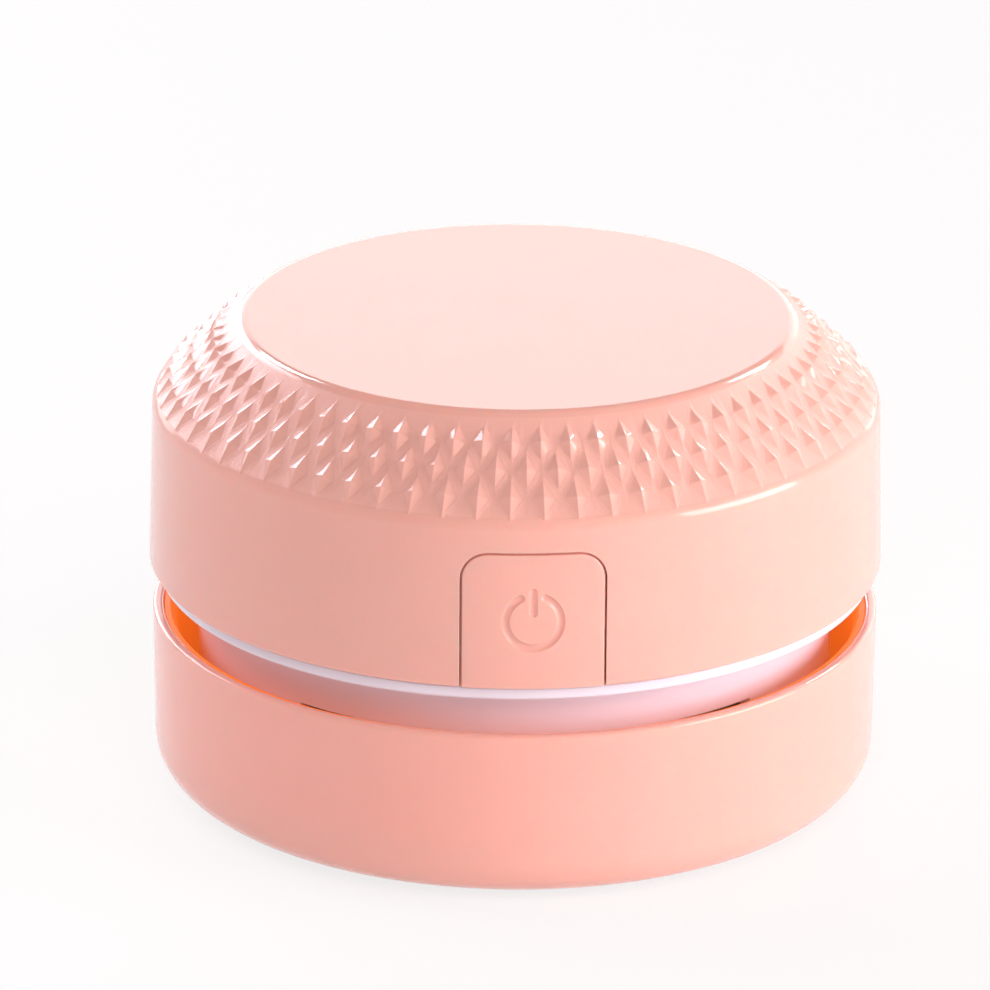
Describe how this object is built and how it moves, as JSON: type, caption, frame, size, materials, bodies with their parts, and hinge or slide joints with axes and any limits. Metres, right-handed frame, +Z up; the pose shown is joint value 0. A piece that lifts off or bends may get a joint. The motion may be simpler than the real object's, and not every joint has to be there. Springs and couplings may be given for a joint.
{
  "type": "desktop mini vacuum cleaner",
  "caption": "Round desk vacuum cleaner: knurled cover with a power button over an open air gap, on a twist-off dust cup with a brushed inlet in its base.",
  "frame": {"origin": "on the floor under the centre of the round body", "axes": "+Z up along the turning axis; -Y towards the power button; +Y towards the charging socket"},
  "size_m": [0.085, 0.085, 0.0564],
  "materials": {
    "salmon_abs": "polished, salmon pink",
    "white_abs": "satin, white",
    "orange_silicone": "smooth, orange",
    "nylon_bristle": "fine bristles",
    "dark_rubber": "matt",
    "grey_abs": "moulded, matt",
    "filter_cloth": "non-woven",
    "plated_steel": "zinc plated",
    "black_nylon": "moulded, satin",
    "cell_wrap": "shrink wrap",
    "circuit_board": "solder mask"
  },
  "bodies": {
    "dust_cup": {"lower_housing": "salmon_abs", "outlet_liner": "orange_silicone", "brush_ring": "nylon_bristle", "foot_1": "dark_rubber", "foot_2": "dark_rubber", "foot_3": "dark_rubber", "foot_4": "dark_rubber"},
    "filter_unit": {"filter_frame": "grey_abs", "filter_cloth": "filter_cloth", "filter_seal": "dark_rubber"},
    "upper_unit": {"top_cover": "salmon_abs", "mid_frame": "white_abs", "motor_bracket": "grey_abs", "motor_can": "plated_steel", "motor_end_cap": "black_nylon", "battery_cell": "cell_wrap", "circuit_board": "circuit_board", "charging_socket": "plated_steel", "switch_board": "circuit_board", "switch_body": "black_nylon", "cover_screw_1": "plated_steel", "cover_screw_2": "plated_steel", "cover_screw_3": "plated_steel", "cover_screw_4": "plated_steel"},
    "button_unit": {"power_button": "salmon_abs", "switch_plunger": "grey_abs"},
    "rotor": {"impeller": "black_nylon", "motor_shaft": "plated_steel"}
  },
  "joints": [
    {"name": "lock_turn", "type": "hinge", "parent": "dust_cup", "child": "filter_unit", "pos_m": [0, 0, 0.0133], "axis": [0, 0, -1], "range_deg": [0, 20]},
    {"name": "lift_off", "type": "slide", "parent": "filter_unit", "child": "upper_unit", "axis": [0, 0, 1], "range_m": [0, 0.03]},
    {"name": "button_press", "type": "slide", "parent": "upper_unit", "child": "button_unit", "axis": [0, 1, 0], "range_m": [0, 0.0012], "stiffness_N_per_m": 1000, "springref_m": -0.0005},
    {"name": "rotor_spin", "type": "hinge", "parent": "upper_unit", "child": "rotor", "pos_m": [0, 0, 0.0226], "axis": [0, 0, 1], "continuous": true}
  ]
}
